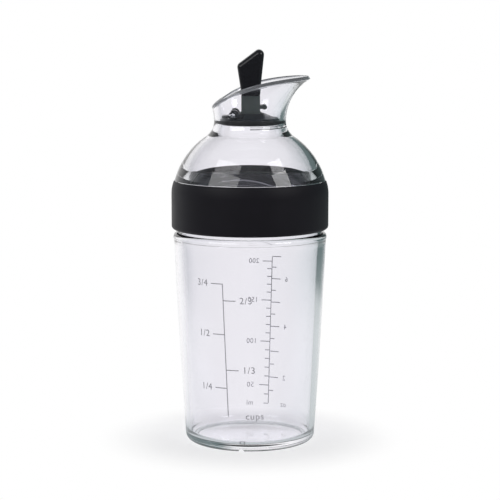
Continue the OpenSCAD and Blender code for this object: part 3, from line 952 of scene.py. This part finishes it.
# Studio: a white paper sweep, a soft box high on each side in front, and dark card low in
# front and to the right, which draws the edges of clear plastic. Floor and world carry the
# ring of card and white that reflections see, and are plain white to the eye.
floor_half = 3.0
shadow_r = (0.03, 0.07)
shadow_share = 0.45
under_r = (0.03, 0.07)
card_r = (0.38, 0.55)
pale_r = (0.2, 0.6)
near_share = 0.3
overhead_z = (0.35, 0.7)
lamp_reach = 0.9
aim = Vector((0, 0, 84.3)) * mm


def ring_of_greys(tree, x, y, stops):
    """Colours by compass bearing in degrees, from behind round by the left, front and right."""
    front = add_node(tree, "ShaderNodeMath", {0: y, 1: -1.0}, operation="MULTIPLY").outputs["Value"]
    bearing = add_node(tree, "ShaderNodeMath", {0: x, 1: front}, operation="ARCTAN2")
    compass = add_node(tree, "ShaderNodeMapRange", {
        "Value": bearing.outputs["Value"], "From Min": -pi, "From Max": pi})
    ramp = add_node(tree, "ShaderNodeValToRGB", {"Fac": compass.outputs["Result"]})
    bands = ramp.color_ramp.elements
    while len(bands) < len(stops):
        bands.new(0.5)
    for band, (degree, code) in zip(bands, stops):
        band.position = (degree + 180) / 360
        band.color = colour(code)
    return ramp.outputs["Color"]


def card_ring(tree, x, y):
    """Dark card in front and on the right, and white paper on the left and behind."""
    return ring_of_greys(tree, x, y, [
        (-180, "#ffffff"), (-150, "#ffffff"), (-125, "#dcdee0"), (-98, "#b4b9bb"), (-80, "#6c7072"),
        (-60, "#64686a"), (60, "#64686a"), (84, "#627070"), (160, "#6e7e7e"), (170, "#ffffff"),
        (180, "#ffffff")])


def seen_through(tree, x, y):
    """White behind the bottle, grey towards the sides, as light bent by clear walls finds it."""
    return ring_of_greys(tree, x, y, [
        (-180, "#ffffff"), (-173, "#fcfcfc"), (-168, "#f7f7f8"), (-164, "#f0f0f2"),
        (-156, "#dcdddf"), (-100, "#d0d2d4"), (100, "#b8c0c0"), (156, "#cfd8d8"),
        (164, "#e5eaea"), (169, "#edf0f0"), (173, "#f9fafa"), (180, "#ffffff")])


def mix_colours(tree, factor, low, high):
    """One colour or another by a factor. The node's colours are its sockets 6 and 7, and 2 out."""
    mix = add_node(tree, "ShaderNodeMix", {"Factor": factor}, data_type="RGBA")
    for end, value in ((6, low), (7, high)):
        if isinstance(value, bpy.types.NodeSocket):
            tree.links.new(value, mix.inputs[end])
        else:
            mix.inputs[end].default_value = value
    return mix.outputs[2]


def fade(tree, value, start, end, least=0.0):
    """Rises smoothly to 1 between two values, from 0 or another least."""
    return add_node(tree, "ShaderNodeMapRange", {
        "Value": value, "From Min": start, "From Max": end, "To Min": least},
        interpolation_type="SMOOTHSTEP").outputs["Result"]


def has_bounced(tree, path):
    """1 for light that has been reflected off a glossy or clear surface."""
    return add_node(tree, "ShaderNodeMath", {
        0: path.outputs["Glossy Depth"], 1: 0.5}, operation="GREATER_THAN").outputs["Value"]


floor_mesh = bmesh.new()
bmesh.ops.create_grid(floor_mesh, x_segments=1, y_segments=1, size=floor_half)
floor_paper, tree, place = new_finish("white_paper_sweep")
fibre = add_node(tree, "ShaderNodeTexNoise", {"Vector": place, "Scale": per_mm(2), "Detail": 2.0})
paper = blend_colours(tree, fibre.outputs["Fac"], "#f8f8f9", "#fcfcfd")
lit = add_node(tree, "ShaderNodeBsdfDiffuse", {"Color": paper})
path = add_node(tree, "ShaderNodeLightPath", {})
bounced = has_bounced(tree, path)
across = add_node(tree, "ShaderNodeSeparateXYZ", {"Vector": place})
reach = add_node(tree, "ShaderNodeVectorMath", {0: place}, operation="LENGTH").outputs["Value"]
near_ring = ring_of_greys(tree, across.outputs["X"], across.outputs["Y"], [
    (-180, "#ffffff"), (-150, "#ffffff"), (-115, "#e4e6e8"), (-85, "#c8cacc"), (-60, "#86888a"),
    (60, "#86888a"), (90, "#c0c8c8"), (150, "#d4dada"), (170, "#ffffff"), (180, "#ffffff")])
under = mix_colours(tree, fade(tree, reach, *under_r), colour("#c2c8ca"), near_ring)
far_ring = card_ring(tree, across.outputs["X"], across.outputs["Y"])
boards = mix_colours(tree, fade(tree, reach, *card_r), under, far_ring)
bent = seen_through(tree, across.outputs["X"], across.outputs["Y"])
pale = mix_colours(tree, near_share, (1, 1, 1, 1), bent)
bent = mix_colours(tree, fade(tree, reach, *pale_r), pale, bent)
plain = mix_colours(tree, path.outputs["Is Camera Ray"], bent, (1, 1, 1, 1))
far_colour = mix_colours(tree, bounced, plain, boards)
glow = add_node(tree, "ShaderNodeEmission", {"Color": far_colour, "Strength": 1.0})
past_shadow = fade(tree, reach, *shadow_r, least=shadow_share)
far = add_node(tree, "ShaderNodeMath", {0: past_shadow, 1: bounced}, operation="MAXIMUM")
not_diffuse = add_node(tree, "ShaderNodeMath", {
    0: 1.0, 1: path.outputs["Is Diffuse Ray"]}, operation="SUBTRACT")
share = add_node(tree, "ShaderNodeMath", {
    0: far.outputs["Value"], 1: not_diffuse.outputs["Value"]}, operation="MULTIPLY")
mixed = add_node(tree, "ShaderNodeMixShader", {
    0: share.outputs["Value"], 1: lit.outputs["BSDF"], 2: glow.outputs["Emission"]})
add_node(tree, "ShaderNodeOutputMaterial", {"Surface": mixed.outputs["Shader"]})
sweep = make_piece("sweep", floor_mesh, floor_paper)

world = bpy.data.worlds.new("studio")
bpy.context.scene.world = world
world.use_nodes = True
tree = world.node_tree
tree.nodes.clear()
direction = add_node(tree, "ShaderNodeTexCoord", {}).outputs["Generated"]
across = add_node(tree, "ShaderNodeSeparateXYZ", {"Vector": direction})
path = add_node(tree, "ShaderNodeLightPath", {})
low = card_ring(tree, across.outputs["X"], across.outputs["Y"])
overhead = fade(tree, across.outputs["Z"], *overhead_z)
reflected = mix_colours(tree, overhead, low, colour("#7c8082"))
bent = seen_through(tree, across.outputs["X"], across.outputs["Y"])
studio_colour = mix_colours(tree, has_bounced(tree, path), bent, reflected)
soft = mix_colours(tree, path.outputs["Is Diffuse Ray"], studio_colour, colour("#a8a8aa"))
white = mix_colours(tree, path.outputs["Is Camera Ray"], soft, (1, 1, 1, 1))
sky = add_node(tree, "ShaderNodeBackground", {"Color": white, "Strength": 1.0})
add_node(tree, "ShaderNodeOutputWorld", {"Surface": sky.outputs["Background"]})

for name, bearing, height, width, tall, watts in [
        ("left_soft_box", -44, 31, 0.7, 0.36, 2.3), ("right_soft_box", 54, 31, 0.37, 0.36, 1.9)]:
    lamp = bpy.data.lights.new(name, "AREA")
    lamp.shape = "RECTANGLE"
    lamp.size = width
    lamp.size_y = tall
    lamp.energy = watts
    box = bpy.data.objects.new(name, lamp)
    a, e = radians(bearing), radians(height)
    towards = Vector((sin(a) * cos(e), -cos(a) * cos(e), sin(e)))
    box.location = aim + lamp_reach * towards
    box.rotation_euler = towards.to_track_quat("Z", "Y").to_euler()
    box.visible_camera = False
    bpy.context.collection.objects.link(box)


# Camera: a long lens a little above the bottle, as the photograph was taken. The photograph
# is 500 pixels across, and the bottle's scale in it is 0.44 mm to a pixel.
photo_px = 500
focal_px = 1750
mm_per_px = 0.44
pitch = radians(7.8)
lens_data = bpy.data.cameras.new("photo_camera")
lens_data.sensor_width = 36
lens_data.lens = focal_px / photo_px * lens_data.sensor_width
camera = bpy.data.objects.new("photo_camera", lens_data)
stand_off = focal_px * mm_per_px * mm
camera.location = aim + stand_off * Vector((0, -cos(pitch), sin(pitch)))
camera.rotation_euler = (pi / 2 - pitch, 0, 0)
bpy.context.collection.objects.link(camera)
bpy.context.scene.camera = camera
bpy.context.scene.view_settings.view_transform = "Standard"
